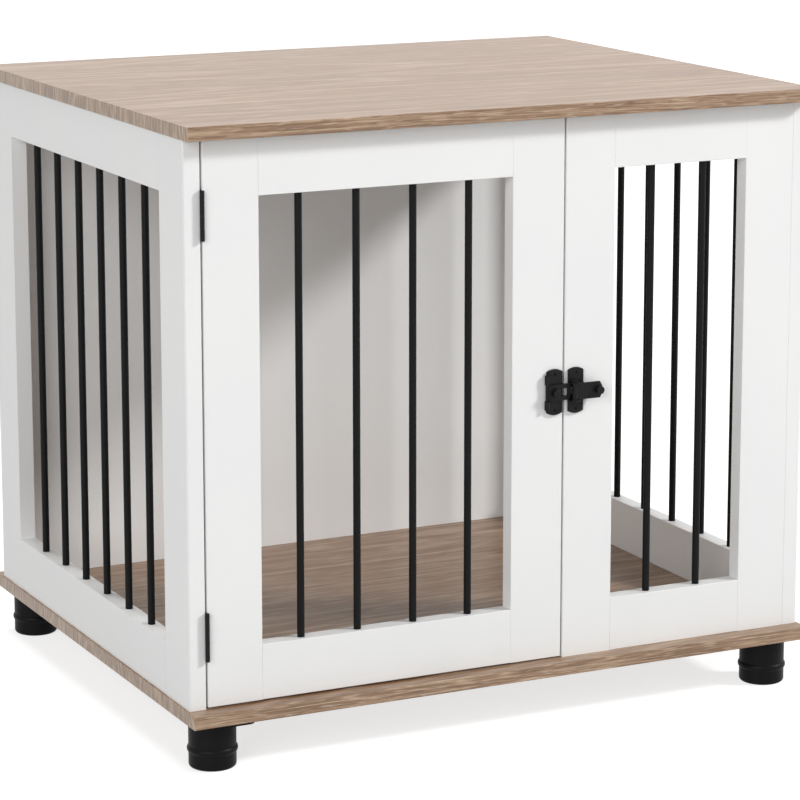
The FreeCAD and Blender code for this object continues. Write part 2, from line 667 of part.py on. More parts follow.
def latch_lever():
    """The flip lever: a barrel with two round cheeks beside the loop, and an arm with a point."""
    y0 = LEVER_AXIS_Y - LEVER_ARM_T / 2
    y1 = LEVER_AXIS_Y + LEVER_ARM_T / 2
    half = LEVER_ARM_H / 2
    tip_x = LEVER_AXIS_X + LEVER_REACH
    shoulder_x = tip_x - LEVER_TIP
    outline = [(LEVER_AXIS_X, -half), (shoulder_x, -half), (tip_x, 0), (shoulder_x, half),
               (LEVER_AXIS_X, half), (LEVER_AXIS_X, -half)]
    wire = Part.makePolygon([point(x, y0, LATCH_Z + z) for x, z in outline])
    arm = Part.Face(wire).extrude(point(0, LEVER_ARM_T, 0))
    half_all = cheek_half()
    barrel = rod(point(LEVER_AXIS_X, LEVER_AXIS_Y, LATCH_Z - half_all), UP, LEVER_BARREL_D, 2 * half_all)
    root = box((LEVER_AXIS_X, y0, LATCH_Z - half_all), (LEVER_AXIS_X + LEVER_ROOT, y1, LATCH_Z + half_all))
    cheeks = [rod(point(LEVER_AXIS_X, LEVER_AXIS_Y, z), UP, LEVER_CHEEK_D, LEVER_CHEEK_T)
              for z in (LATCH_Z - half_all, LATCH_Z + half_all - LEVER_CHEEK_T)]
    bore = rod(point(LEVER_AXIS_X, LEVER_AXIS_Y, LATCH_Z - half_all - TOOL_EXTRA), UP,
               LATCH_PIN_D + 2 * PIN_PLAY, 2 * (half_all + TOOL_EXTRA))
    seat = knob_seat(point(lever_knob_x(), y0, LATCH_Z), LEVER_ARM_T)
    return arm.fuse([barrel, root] + cheeks).cut(bore).cut(seat).removeSplitter()


def lever_knob():
    y0 = LEVER_AXIS_Y - LEVER_ARM_T / 2
    return finger_knob(point(lever_knob_x(), y0, LATCH_Z), LEVER_ARM_T)


# ---- legs ----------------------------------------------------------------------------------------
def leg_places():
    """Each leg's name, its middle and the quarter turns of its screw tab."""
    x = BOARD_W / 2 - LEG_INSET_X
    y = BOARD_D / 2 - LEG_INSET_Y
    return [("front_left", -x, -y, 0), ("front_right", x, -y, 1),
            ("rear_right", x, y, 2), ("rear_left", -x, y, 3)]


def placed(solid, x, y, quarter):
    turned = solid.copy()
    turned.rotate(point(0, 0, 0), UP, QUARTER_TURN * quarter)
    turned.translate(point(x, y, 0))
    return turned


def leg():
    """A round hollow plastic leg with a bead, closed at the floor, and a tab with two screw holes."""
    r = LEG_D / 2
    bead_low = BEAD_FROM_FLOOR - BEAD_H / 2
    bead_high = BEAD_FROM_FLOOR + BEAD_H / 2
    soft = LEG_BOTTOM_R * (1 - math.sqrt(0.5))
    outside = [
        ((0, 0), (r - LEG_BOTTOM_R, 0), None),
        ((r - LEG_BOTTOM_R, 0), (r, LEG_BOTTOM_R), (r - soft, soft)),
        ((r, LEG_BOTTOM_R), (r, bead_low), None),
        ((r, bead_low), (r, bead_high), (BEAD_D / 2, BEAD_FROM_FLOOR)),
        ((r, bead_high), (r, LEG_H), None),
        ((r, LEG_H), (0, LEG_H), None),
        ((0, LEG_H), (0, 0), None),
    ]
    body = revolved(outside, point(0, 0, 0))
    tab = box((0, -r, LEG_H - LEG_TAB_T), (LEG_TAB_REACH, r, LEG_H))
    tab = tab.makeFillet(LEG_TAB_R, long_edges(tab, "z", [(1, -1), (1, 1)]))
    cavity = rod(point(0, 0, LEG_FLOOR_T), UP, LEG_D - 2 * LEG_WALL, LEG_H)
    boss = rod(point(0, 0, LEG_FLOOR_T), UP, LEG_BOSS_D, LEG_H)
    tools = [cavity.cut(boss), leg_bolt_hole(), *leg_screw_set(SCREW_PLAY)]
    return cut_all(body.fuse(tab), tools).removeSplitter()


def leg_bolt_hole():
    return rod(point(0, 0, LEG_H - LEG_BOLT_IN_LEG - LEG_BOLT_PLAY), UP, LEG_BOLT_D + 2 * LEG_BOLT_PLAY,
               LEG_BOLT_IN_LEG + LEG_BOLT_IN_BOARD + 2 * LEG_BOLT_PLAY)


def leg_bolt():
    return rod(point(0, 0, LEG_H - LEG_BOLT_IN_LEG), UP, LEG_BOLT_D, LEG_BOLT_IN_LEG + LEG_BOLT_IN_BOARD)


def leg_screw_set(play=0.0):
    return [screw(LEG_SCREW, point(LEG_SCREW_FROM_CENTRE, side * LEG_SCREW_SPREAD, LEG_H - LEG_TAB_T),
                  UP, play) for side in (-1, 1)]


def around_legs(solids):
    return [placed(s, x, y, quarter) for name, x, y, quarter in leg_places() for s in solids]


# ---- boards --------------------------------------------------------------------------------------
def board(z0, tools):
    """A laminated board without its edge bands, drilled for its fittings."""
    lo = (LEFT + BAND_T, FRONT + BAND_T, z0)
    hi = (-LEFT - BAND_T, -FRONT - BAND_T, z0 + BOARD_T)
    return drilled(box(lo, hi), tools)


def edge_bands(z0):
    """Thin bands on the four edges: the front and back ones run past the ends of the side ones."""
    right = -LEFT
    back = -FRONT
    z1 = z0 + BOARD_T
    strips = [
        (((LEFT, FRONT, z0), (right, FRONT + BAND_T, z1)), "x", [(-1, -1), (-1, 1)]),
        (((LEFT, back - BAND_T, z0), (right, back, z1)), "x", [(1, -1), (1, 1)]),
        (((LEFT, FRONT + BAND_T, z0), (LEFT + BAND_T, back - BAND_T, z1)), "y", [(-1, -1), (-1, 1)]),
        (((right - BAND_T, FRONT + BAND_T, z0), (right, back - BAND_T, z1)), "y", [(1, -1), (1, 1)]),
    ]
    made = []
    for (lo, hi), axis, corners in strips:
        strip = box(lo, hi)
        made.append(strip.makeFillet(BAND_ARRIS, long_edges(strip, axis, corners)))
    return made


# ---- every piece -----------------------------------------------------------------------------------
def frame_bars(frame, axis, span, names, rounded, tools):
    """The stiles and rails of one frame as drilled bars; span gives lo and hi across the frame."""
    made = {}
    for key, name in names.items():
        (a0, a1), (z0, z1) = frame[key]
        if axis == "y":
            lo, hi = (span[0], a0, z0), (span[1], a1, z1)
        else:
            lo, hi = (a0, span[0], z0), (a1, span[1], z1)
        run = "z" if key.endswith("stile") else axis
        made[name] = drilled(bar(lo, hi, run, rounded.get(key, ())), tools)
    return made


def side_frame(side, wood_tools):
    """One barred side frame: the two stiles are rounded where they make the body's outer corners."""
    word = "left" if side < 0 else "right"
    place = on_side(side * SIDE_MID_X)
    span = sorted((side * INNER_X, side * OUTER_X))
    names = {"first_stile": word + "_front_stile", "second_stile": word + "_rear_stile",
             "top_rail": word + "_top_rail", "bottom_rail": word + "_bottom_rail"}
    rounded = {"first_stile": [(side, -1)], "second_stile": [(side, 1)]}
    tools = wood_tools + rod_holes(SIDE, SIDE_ROD_PITCH, place)
    tools += joint_dowels(SIDE, "y", place, DOWEL_PLAY)
    nodes = frame_bars(SIDE, "y", span, names, rounded, tools)
    nodes[word + "_rods"] = rods_of(SIDE, SIDE_ROD_PITCH, place)
    return nodes


def front_frame(frame, word, ends, pitch, wood_tools):
    """The fixed panel or the door: both are flat barred frames in the front plane."""
    names = {"first_stile": word + ends[0], "second_stile": word + ends[1],
             "top_rail": word + "_top_rail", "bottom_rail": word + "_bottom_rail"}
    tools = wood_tools + rod_holes(frame, pitch, on_front)
    tools += joint_dowels(frame, "x", on_front, DOWEL_PLAY)
    nodes = frame_bars(frame, "x", (FACE_Y, INSIDE_Y), names, {}, tools)
    nodes[word + "_rods"] = rods_of(frame, pitch, on_front)
    return nodes


def all_nodes():
    base_tools = base_screws(SCREW_PLAY)
    body_tools = base_tools + cam_bores() + back_dowels(DOWEL_PLAY) + panel_dowels(DOWEL_PLAY)
    door_tools = hinge_screws(1, SCREW_PLAY) + latch_screws(loop_screw_x(), SCREW_PLAY)
    panel_tools = body_tools + latch_screws(BASE_PLATE_X, SCREW_PLAY)
    leg_tools = around_legs([leg_bolt_hole(), *leg_screw_set(SCREW_PLAY)])

    nodes = {
        "top_board": board(CEILING_Z, stud_bores()),
        "top_edge_bands": edge_bands(CEILING_Z),
        "base_board": board(BASE_Z, base_tools + leg_tools),
        "base_edge_bands": edge_bands(BASE_Z),
    }
    nodes.update(side_frame(-1, body_tools + hinge_screws(-1, SCREW_PLAY)))
    nodes.update(side_frame(1, body_tools))
    back = box((-INNER_X, BACK_Y, FLOOR_Z), (INNER_X, REAR_Y, CEILING_Z))
    nodes["back_panel"] = drilled(back, body_tools)
    nodes.update(front_frame(PANEL, "panel", ("_left_stile", "_right_stile"), PANEL_ROD_PITCH, panel_tools))
    nodes["frame_dowels"] = [d for side in (-1, 1)
                             for d in joint_dowels(SIDE, "y", on_side(side * SIDE_MID_X))]
    nodes["panel_dowels"] = joint_dowels(PANEL, "x", on_front) + panel_dowels()
    nodes["back_dowels"] = back_dowels()
    nodes["cam_studs"] = cam_studs()
    nodes["cam_locks"] = cam_locks()
    nodes["base_screws"] = base_screws()

    nodes.update(front_frame(DOOR, "door", ("_hinge_stile", "_latch_stile"), DOOR_ROD_PITCH, door_tools))
    nodes["door_dowels"] = joint_dowels(DOOR, "x", on_front)

    for word, z in hinge_middles().items():
        nodes[word + "_hinge_frame_leaf"] = leaf(z, -1)
        nodes[word + "_hinge_door_leaf"] = leaf(z, 1)
        nodes[word + "_hinge_pin"] = hinge_pin(z)
    nodes["hinge_frame_screws"] = hinge_screws(-1)
    nodes["hinge_door_screws"] = hinge_screws(1)

    nodes["latch_loop_plate"] = loop_plate()
    nodes["latch_loop_pin"] = loop_pin()
    nodes["latch_loop_screws"] = latch_screws(loop_screw_x())
    nodes["latch_loop"] = latch_loop()
    nodes["latch_loop_knob"] = loop_knob()
    nodes["latch_base_plate"] = base_plate()
    nodes["latch_base_screws"] = latch_screws(BASE_PLATE_X)
    nodes["latch_lever_pin"] = lever_pin()
    nodes["latch_lever"] = latch_lever()
    nodes["latch_lever_knob"] = lever_knob()

    one_leg = leg()
    for name, x, y, quarter in leg_places():
        nodes["leg_" + name] = placed(one_leg, x, y, quarter)
    nodes["leg_bolts"] = around_legs([leg_bolt()])
    nodes["leg_screws"] = around_legs(leg_screw_set())
    return nodes


os.makedirs("parts", exist_ok=True)
for node, shape in all_nodes().items():
    whole = Part.makeCompound(shape) if isinstance(shape, list) else shape
    solids = whole.Solids
    if not solids or not whole.isValid():
        raise ValueError(node + " isn't a valid solid")
    single = solids[0] if len(solids) == 1 else Part.makeCompound(solids)
    single.exportStep("parts/" + node + ".step")
    print(node, len(solids), round(sum(s.Volume for s in solids), 1))
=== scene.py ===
import math

import bmesh
import bpy
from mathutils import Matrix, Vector


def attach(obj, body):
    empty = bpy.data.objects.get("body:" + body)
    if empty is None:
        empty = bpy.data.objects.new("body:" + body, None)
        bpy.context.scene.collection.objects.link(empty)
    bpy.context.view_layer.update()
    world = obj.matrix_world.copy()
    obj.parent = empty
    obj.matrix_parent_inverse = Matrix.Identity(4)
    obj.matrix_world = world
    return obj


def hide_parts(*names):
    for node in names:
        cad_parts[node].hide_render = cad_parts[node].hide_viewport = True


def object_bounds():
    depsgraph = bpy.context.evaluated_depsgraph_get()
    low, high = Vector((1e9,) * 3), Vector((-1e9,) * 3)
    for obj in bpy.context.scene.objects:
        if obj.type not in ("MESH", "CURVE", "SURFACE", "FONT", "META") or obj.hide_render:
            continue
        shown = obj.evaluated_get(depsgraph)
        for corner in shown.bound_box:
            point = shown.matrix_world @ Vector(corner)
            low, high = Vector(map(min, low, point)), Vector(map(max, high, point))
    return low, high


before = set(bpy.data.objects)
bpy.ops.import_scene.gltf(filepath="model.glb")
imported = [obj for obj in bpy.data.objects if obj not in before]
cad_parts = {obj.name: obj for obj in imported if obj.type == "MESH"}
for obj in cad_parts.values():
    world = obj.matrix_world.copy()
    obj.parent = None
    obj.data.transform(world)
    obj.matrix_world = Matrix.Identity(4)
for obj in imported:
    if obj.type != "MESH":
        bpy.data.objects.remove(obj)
cad_low, cad_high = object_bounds()
scene = bpy.context.scene

# ---- the two boards ----------------------------------------------------------------------------
# Particle boards faced above and below with a matt oak-look foil, its grain along the table's
# length. The base board carries the body and the legs, and cam fittings pull the top board down.
OAK_SHADE = (0.205, 0.104, 0.046, 1)
OAK_BODY = (0.285, 0.171, 0.098, 1)
OAK_PALE = (0.390, 0.264, 0.180, 1)
OAK_FLECK = (0.500, 0.385, 0.290, 1)
OAK_PORE = (0.120, 0.062, 0.032, 1)
TONES_AT = (0.40, 0.50, 0.60)
RINGS_PER_M = (0.9, 7.0, 7.0)
RINGS = 26.0
RING_TONES = (0.3, 0.7)
RING_SHARE = 0.22
STREAK_PER_M = (1.6, 110.0, 110.0)
STREAK_DETAIL = 5.0
STREAK_FINENESS = 0.70
FLECK_PER_M = (30.0, 420.0, 420.0)
PORE_PER_M = (38.0, 950.0, 950.0)
MARKS_FROM = 0.56
MARKS_FULL = 0.72
MARKS_STRENGTH = 0.55
SWAYS = (((3.5, 8.0, 8.0), 0.012), ((18.0, 40.0, 40.0), 0.0008))
FOIL_ROUGHNESS = (0.24, 0.35)
FOIL_GLOSS = 0.50
FOIL_RELIEF = 0.00006
STEPS = {"+": "ADD", "-": "SUBTRACT", "*": "MULTIPLY", "/": "DIVIDE", ">": "GREATER_THAN",
         "least": "MINIMUM", "most": "MAXIMUM", "size": "ABSOLUTE", "sine": "SINE"}
MIX_SOCKETS = {"FLOAT": (2, 3, 0), "VECTOR": (4, 5, 1), "RGBA": (6, 7, 2)}


def feed(tree, socket, value):
    """Links an input to another node's output, or sets it to a value."""
    if isinstance(value, bpy.types.NodeSocket):
        tree.links.new(value, socket)
    else:
        socket.default_value = value


def add(tree, kind, inputs=None, **settings):
    """A node in a tree, with its settings and its inputs."""
    node = tree.nodes.new(kind)
    for key, value in settings.items():
        setattr(node, key, value)
    for key, value in (inputs or {}).items():
        feed(tree, node.inputs[key], value)
    return node


def new_material(name):
    material = bpy.data.materials.new(name)
    material.use_nodes = True
    return material, material.node_tree, material.node_tree.nodes["Principled BSDF"]


def reckon(tree, a, step, b=0.0):
    """One step of arithmetic. The size and the sine of a number need no second one."""
    return add(tree, "ShaderNodeMath", {0: a, 1: b}, operation=STEPS[step]).outputs[0]


def noise(tree, vector, detail=2.0, scale=1.0, fineness=0.5):
    settings = {"Vector": vector, "Scale": scale, "Detail": detail, "Roughness": fineness}
    return add(tree, "ShaderNodeTexNoise", settings).outputs["Fac"]


def ramp(tree, factor, places, colours):
    """A colour ramp with a colour at each place."""
    node = add(tree, "ShaderNodeValToRGB", {"Fac": factor})
    elements = node.color_ramp.elements
    while len(elements) < len(places):
        elements.new(1.0)
    for element, place, colour in zip(elements, places, colours):
        element.position = place
        element.color = colour
    return node.outputs["Color"]


def map_range(tree, value, low, high, start=0.0, end=1.0):
    """Carries a value between start and end over to between low and high, and holds it there."""
    spread = {"Value": value, "From Min": start, "From Max": end, "To Min": low, "To Max": high}
    return add(tree, "ShaderNodeMapRange", spread).outputs["Result"]


def marks(tree, vector):
    """Short marks where a noise runs high."""
    return map_range(tree, noise(tree, vector, detail=1.0), 0.0, MARKS_STRENGTH, MARKS_FROM, MARKS_FULL)


def stretched(tree, vector, per_m):
    return add(tree, "ShaderNodeMapping", {"Vector": vector, "Scale": per_m}).outputs["Vector"]


def mixed(tree, kind, share, first, second):
    """Two values by share. A Mix node has sockets of its own for numbers, places and colours."""
    a, b, result = MIX_SOCKETS[kind]
    return add(tree, "ShaderNodeMix", {0: share, a: first, b: second}, data_type=kind).outputs[result]


def surface(tree, shader, colour, patch, roughness, height, depth):
    """Gives a shader its colour, a roughness that follows patch and a relief that follows height."""
    tree.links.new(colour, shader.inputs["Base Color"])
    tree.links.new(map_range(tree, patch, *roughness), shader.inputs["Roughness"])
    bump = add(tree, "ShaderNodeBump", {"Height": height, "Distance": depth})
    tree.links.new(bump.outputs["Normal"], shader.inputs["Normal"])


def grained(tree, shader, rings, streak, fleck, pore, tones):
    """Lays an oak figure on a shader: growth rings, fine streaks, pale flecks and short dark pores."""
    shade, body, pale, fleck_tone, pore_tone = tones
    streaks = noise(tree, streak, STREAK_DETAIL, fineness=STREAK_FINENESS)
    turns = reckon(tree, noise(tree, rings, detail=1.0), "*", RINGS * math.tau)
    waves = map_range(tree, reckon(tree, turns, "sine"), *RING_TONES)
    wood = ramp(tree, mixed(tree, "FLOAT", RING_SHARE, streaks, waves), TONES_AT, (shade, body, pale))
    flecked = mixed(tree, "RGBA", marks(tree, fleck), wood, fleck_tone)
    colour = mixed(tree, "RGBA", marks(tree, pore), flecked, pore_tone)
    shader.inputs["Specular IOR Level"].default_value = FOIL_GLOSS
    surface(tree, shader, colour, streaks, FOIL_ROUGHNESS, streaks, FOIL_RELIEF)


def place_on(tree):
    """The point on the piece, in the piece's own coordinates."""
    return add(tree, "ShaderNodeTexCoord").outputs["Object"]


def step_along(tree, axis, distance):
    return add(tree, "ShaderNodeCombineXYZ", {axis: distance}).outputs["Vector"]


def swaying(tree, axis, share=1.0):
    """Places that drift slowly and waver a little along one axis, so that the grain isn't ruled."""
    place = place_on(tree)
    for per_m, reach in SWAYS:
        drift = map_range(tree, noise(tree, stretched(tree, place, per_m)), -reach * share, reach * share)
        offset = step_along(tree, axis, drift)
        place = add(tree, "ShaderNodeVectorMath", {0: place, 1: offset}).outputs["Vector"]
    return place


def dress(names, material):
    """Gives CAD nodes their material."""
    for name in names:
        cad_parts[name].data.materials.clear()
        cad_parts[name].data.materials.append(material)


laminate, tree, shader = new_material("oak_laminate")
place = swaying(tree, "Y")
grained(tree, shader, stretched(tree, place, RINGS_PER_M), stretched(tree, place, STREAK_PER_M),
        stretched(tree, place, FLECK_PER_M), stretched(tree, place, PORE_PER_M),
        (OAK_SHADE, OAK_BODY, OAK_PALE, OAK_FLECK, OAK_PORE))
dress(["top_board", "base_board"], laminate)

# ---- edge bands --------------------------------------------------------------------------------
# Strips of the same oak look, glued to the boards' four edges and rounded along both arrises. The
# long ones show the grain end to end, the short ones are cut across it and show upright streaks.
BAND_SHADE = (0.200, 0.117, 0.066, 1)
BAND_BODY = (0.320, 0.205, 0.126, 1)
BAND_PALE = (0.465, 0.330, 0.225, 1)
BAND_FLECK = (0.620, 0.480, 0.360, 1)
BAND_PORE = (0.105, 0.058, 0.032, 1)
ALONG_PER_M = ((1.5, 60.0, 60.0), (8.0, 440.0, 440.0), (48.0, 700.0, 700.0), (70.0, 800.0, 800.0))
ACROSS_PER_M = ((30.0, 12.0, 4.0), (110.0, 300.0, 18.0), (420.0, 500.0, 40.0), (500.0, 600.0, 50.0))
SIDE_BAND_DEPTH = 0.0012
BAND_SWAY = 0.15


def by_side(tree, place, mask, along, across):
    """One grain along the long bands and another on the short ones."""
    return mixed(tree, "VECTOR", mask, stretched(tree, place, along), stretched(tree, place, across))


edge_band, tree, shader = new_material("oak_edge_band")
place = swaying(tree, "Z", BAND_SWAY)
sideways = add(tree, "ShaderNodeSeparateXYZ", {0: place}).outputs["X"]
mask = reckon(tree, reckon(tree, sideways, "size"), ">", cad_high.x - SIDE_BAND_DEPTH)
grained(tree, shader, *[by_side(tree, place, mask, *pair) for pair in zip(ALONG_PER_M, ACROSS_PER_M)],
        (BAND_SHADE, BAND_BODY, BAND_PALE, BAND_FLECK, BAND_PORE))
dress(["top_edge_bands", "base_edge_bands"], edge_band)

# ---- side frames, back, fixed panel and door ---------------------------------------------------
# Fibreboard stiles and rails, butted and dowelled, and one flat back, all sprayed with a satin
# white lacquer that keeps a faint orange-peel surface. The arrises are broken by hand sanding.
WHITE = (0.835, 0.835, 0.826, 1)
WHITE_COOLER = (0.815, 0.818, 0.815, 1)
WHITES_AT = (0.35, 0.65)
CLOUD_PER_M = 9.0
CLOUD_DETAIL = 3.0
LACQUER_ROUGHNESS = (0.36, 0.46)
PEEL_PER_M = 420.0
PEEL_RELIEF = 0.000012

lacquer, tree, shader = new_material("white_lacquer")
place = place_on(tree)
cloud = noise(tree, place, CLOUD_DETAIL, CLOUD_PER_M)
peel = noise(tree, place, scale=PEEL_PER_M)
surface(tree, shader, ramp(tree, cloud, WHITES_AT, (WHITE_COOLER, WHITE)), cloud, LACQUER_ROUGHNESS,
        peel, PEEL_RELIEF)
dress([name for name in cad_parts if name.endswith(("_stile", "_rail"))] + ["back_panel"], lacquer)

# ---- rods --------------------------------------------------------------------------------------
# Steel rods, cut to length with a small chamfer, powder-coated satin black and let into blind
# holes in the rails: six in each side frame, four in the door and two in the fixed panel.
ROD_BLACK = (0.0060, 0.0060, 0.0062, 1)
ROD_BLACK_WORN = (0.0095, 0.0095, 0.0098, 1)
SPECKLES_AT = (0.38, 0.68)
SPECKLES_PER_PATCH = 40
ROD_ROUGHNESS = (0.36, 0.46)
ROD_GLOSS = 0.09
ROD_CHAMFER = 0.0006
ROD_SIDES = 36
COAT_PER_M = 1300.0
COAT_RELIEF = 0.00002
SHARP_ANGLE = math.radians(32)
SAME_POINT = 1e-6
DECIMALS = 5
UP = Vector((0, 0, 1))


def speckled(name, blacks, roughness, gloss, per_m, depth):
    """A coated or moulded black with fine grain in its colour, gloss and relief."""
    material, tree, shader = new_material(name)
    place = place_on(tree)
    grain = noise(tree, place, scale=per_m)
    patch = noise(tree, place, scale=per_m / SPECKLES_PER_PATCH)
    shader.inputs["Specular IOR Level"].default_value = gloss
    surface(tree, shader, ramp(tree, grain, SPECKLES_AT, blacks), patch, roughness, grain, depth)
    return material


def solids_of(name):
    """The corners of each separate solid of a CAD node."""
    mesh = bmesh.new()
    mesh.from_mesh(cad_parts[name].data)
    bmesh.ops.remove_doubles(mesh, verts=mesh.verts, dist=SAME_POINT)
    mesh.verts.index_update()
    seen = set()
    solids = []
    for first in mesh.verts:
        if first.index in seen:
            continue
        seen.add(first.index)
        waiting = [first]
        corners = []
        while waiting:
            vert = waiting.pop()
            corners.append(vert.co.copy())
            for edge in vert.link_edges:
                other = edge.other_vert(vert)
                if other.index not in seen:
                    seen.add(other.index)
                    waiting.append(other)
        solids.append(corners)
    mesh.free()
    return solids


def batches(name, direction, measure):
    """A CAD node's round solids by size: where each starts, with the sizes read from its rings."""
    groups = {}
    for corners in solids_of(name):
        middle = Vector([(min(c[k] for c in corners) + max(c[k] for c in corners)) / 2 for k in range(3)])
        heights = [(c - middle).dot(direction) for c in corners]
        start = min(heights)
        rings = sorted((round(h - start, DECIMALS), round((c - middle - direction * h).length, DECIMALS))
                       for h, c in zip(heights, corners))
        sizes = measure(rings)
        groups.setdefault(tuple(sizes.values()), ([], sizes))[0].append(middle + direction * start)
    return list(groups.values())


def geometry_tree(name, sizes):
    """A geometry tree with a named input for each size, and the sockets that give them."""
    tree = bpy.data.node_groups.new(name, "GeometryNodeTree")
    kinds = {"Geometry": "Geometry", **dict.fromkeys(sizes, "Float"), "Turn": "Vector",
             "Material": "Material"}
    for label, kind in kinds.items():
        tree.interface.new_socket(label, in_out="INPUT", socket_type="NodeSocket" + kind)
    tree.interface.new_socket("Geometry", in_out="OUTPUT", socket_type="NodeSocketGeometry")
    return tree, tree.nodes.new("NodeGroupInput").outputs


def pick(tree, index, values):
    """The value whose turn it is."""
    switch = tree.nodes.new("GeometryNodeIndexSwitch")
    switch.data_type = "FLOAT"
    while len(switch.index_switch_items) < len(values):
        switch.index_switch_items.new()
    tree.links.new(index, switch.inputs["Index"])
    for k, value in enumerate(values):
        feed(tree, switch.inputs[k + 1], value)
    return switch.outputs[0]


def swept(tree, path, profile, scale):
    """A profile carried along a path and closed at both ends."""
    return add(tree, "GeometryNodeCurveToMesh", {"Curve": path, "Profile Curve": profile,
                                                 "Fill Caps": True, "Scale": scale}).outputs[0]


def turned(tree, rings, profile):
    """A piece turned on a lathe along Z: the profile at each ring's height, scaled to its radius."""
    heights, radii = zip(*rings)
    line = add(tree, "GeometryNodeMeshLine", {"Count": len(rings)}).outputs[0]
    index = add(tree, "GeometryNodeInputIndex").outputs[0]
    position = step_along(tree, "Z", pick(tree, index, heights))
    placed = add(tree, "GeometryNodeSetPosition", {"Geometry": line, "Position": position}).outputs[0]
    curve = add(tree, "GeometryNodeMeshToCurve", {0: placed}).outputs[0]
    return swept(tree, curve, profile, pick(tree, index, radii))


def circle(tree, sides):
    return add(tree, "GeometryNodeCurvePrimitiveCircle", {"Resolution": sides, "Radius": 1.0}).outputs[0]


def repeat_and_end(tree, inputs, shape):
    """Puts the shape at every point, turned as asked, made real and given its material."""
    turn = add(tree, "FunctionNodeEulerToRotation", {0: inputs["Turn"]}).outputs[0]
    copies = add(tree, "GeometryNodeInstanceOnPoints",
                 {"Points": inputs["Geometry"], "Instance": shape, "Rotation": turn}).outputs[0]
    real = add(tree, "GeometryNodeRealizeInstances", {0: copies}).outputs[0]
    coated = add(tree, "GeometryNodeSetMaterial",
                 {"Geometry": real, "Material": inputs["Material"]}).outputs[0]
    add(tree, "NodeGroupOutput", {0: coated})


def grow(node, ending, tree, measure, direction, material, body):
    """Runs a tree where a CAD node's solids start and lets the plain mesh stand for the node."""
    turn = UP.rotation_difference(direction).to_euler()
    whole = bmesh.new()
    for starts, sizes in batches(node, direction, measure):
        seed = bpy.data.meshes.new(node + "_points")
        seed.from_pydata(starts, [], [])
        maker = bpy.data.objects.new(node + "_points", seed)
        scene.collection.objects.link(maker)
        modifier = maker.modifiers.new("Nodes", "NODES")
        modifier.node_group = tree
        given = dict(sizes, Turn=turn[:], Material=material)
        for item in tree.interface.items_tree:
            if item.in_out == "INPUT" and item.name in given:
                modifier[item.identifier] = given[item.name]
        bpy.context.view_layer.update()
        made = bpy.data.meshes.new_from_object(maker.evaluated_get(bpy.context.evaluated_depsgraph_get()))
        whole.from_mesh(made)
        bpy.data.objects.remove(maker)
    mesh = bpy.data.meshes.new(node + ending)
    whole.to_mesh(mesh)
    whole.free()
    mesh.materials.append(material)
    mesh.shade_smooth()
    mesh.set_sharp_from_angle(angle=SHARP_ANGLE)
    piece = bpy.data.objects.new(node + ending, mesh)
    scene.collection.objects.link(piece)
    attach(piece, body)
    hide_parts(node)


def bar_sizes(rings):
    return {"Length": rings[-1][0], "Radius": max(r for h, r in rings)}


def rod_sizes(rings):
    return dict(bar_sizes(rings), Chamfer=ROD_CHAMFER)


rod_coat = speckled("black_rod", (ROD_BLACK, ROD_BLACK_WORN), ROD_ROUGHNESS, ROD_GLOSS, COAT_PER_M,
                    COAT_RELIEF)
rod_row, sizes = geometry_tree("rod_row", ("Radius", "Length", "Chamfer"))
waist = reckon(rod_row, sizes["Radius"], "-", sizes["Chamfer"])
shoulder = reckon(rod_row, sizes["Length"], "-", sizes["Chamfer"])
shape = turned(rod_row, [(0.0, waist), (sizes["Chamfer"], sizes["Radius"]), (shoulder, sizes["Radius"]),
                         (sizes["Length"], waist)], circle(rod_row, ROD_SIDES))
repeat_and_end(rod_row, sizes, shape)
for node, body in (("left_rods", "frame"), ("right_rods", "frame"), ("panel_rods", "frame"),
                   ("door_rods", "door")):
    grow(node, "_coated", rod_row, rod_sizes, UP, rod_coat, body)

# ---- hinges and latch --------------------------------------------------------------------------
# Two butt hinges of folded steel in the door's left gap, and a cast latch across the other gap: a
# loop pinned to the door's plate, and a lever pinned to the fixed panel's plate. All satin black.
HARDWARE_BLACK = (0.0058, 0.0058, 0.0060, 1)
HARDWARE_BLACK_WORN = (0.0110, 0.0110, 0.0113, 1)
HARDWARE_ROUGHNESS = (0.38, 0.50)
HARDWARE_GLOSS = 0.14
HARDWARE_PER_M = 1700.0
HARDWARE_RELIEF = 0.00003

hardware = speckled("black_hardware", (HARDWARE_BLACK, HARDWARE_BLACK_WORN), HARDWARE_ROUGHNESS,
                    HARDWARE_GLOSS, HARDWARE_PER_M, HARDWARE_RELIEF)
dress([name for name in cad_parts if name.endswith("_leaf") or "hinge_pin" in name], hardware)
dress(["latch_base_plate", "latch_lever_pin", "latch_lever", "latch_lever_knob", "latch_loop_plate",
       "latch_loop_pin", "latch_loop", "latch_loop_knob"], hardware)

# ---- legs --------------------------------------------------------------------------------------
# Hollow legs moulded in black plastic with a bead near the floor. Each has a tab with two screws
# at its top and a bolt into the base board.
PLASTIC_BLACK = (0.0048, 0.0048, 0.0050, 1)
PLASTIC_BLACK_WORN = (0.0085, 0.0085, 0.0087, 1)
PLASTIC_ROUGHNESS = (0.38, 0.48)
PLASTIC_GLOSS = 0.08
PLASTIC_PER_M = 900.0
PLASTIC_RELIEF = 0.00003

plastic = speckled("black_plastic", (PLASTIC_BLACK, PLASTIC_BLACK_WORN), PLASTIC_ROUGHNESS,
                   PLASTIC_GLOSS, PLASTIC_PER_M, PLASTIC_RELIEF)
dress(["leg_front_left", "leg_front_right", "leg_rear_left", "leg_rear_right"], plastic)

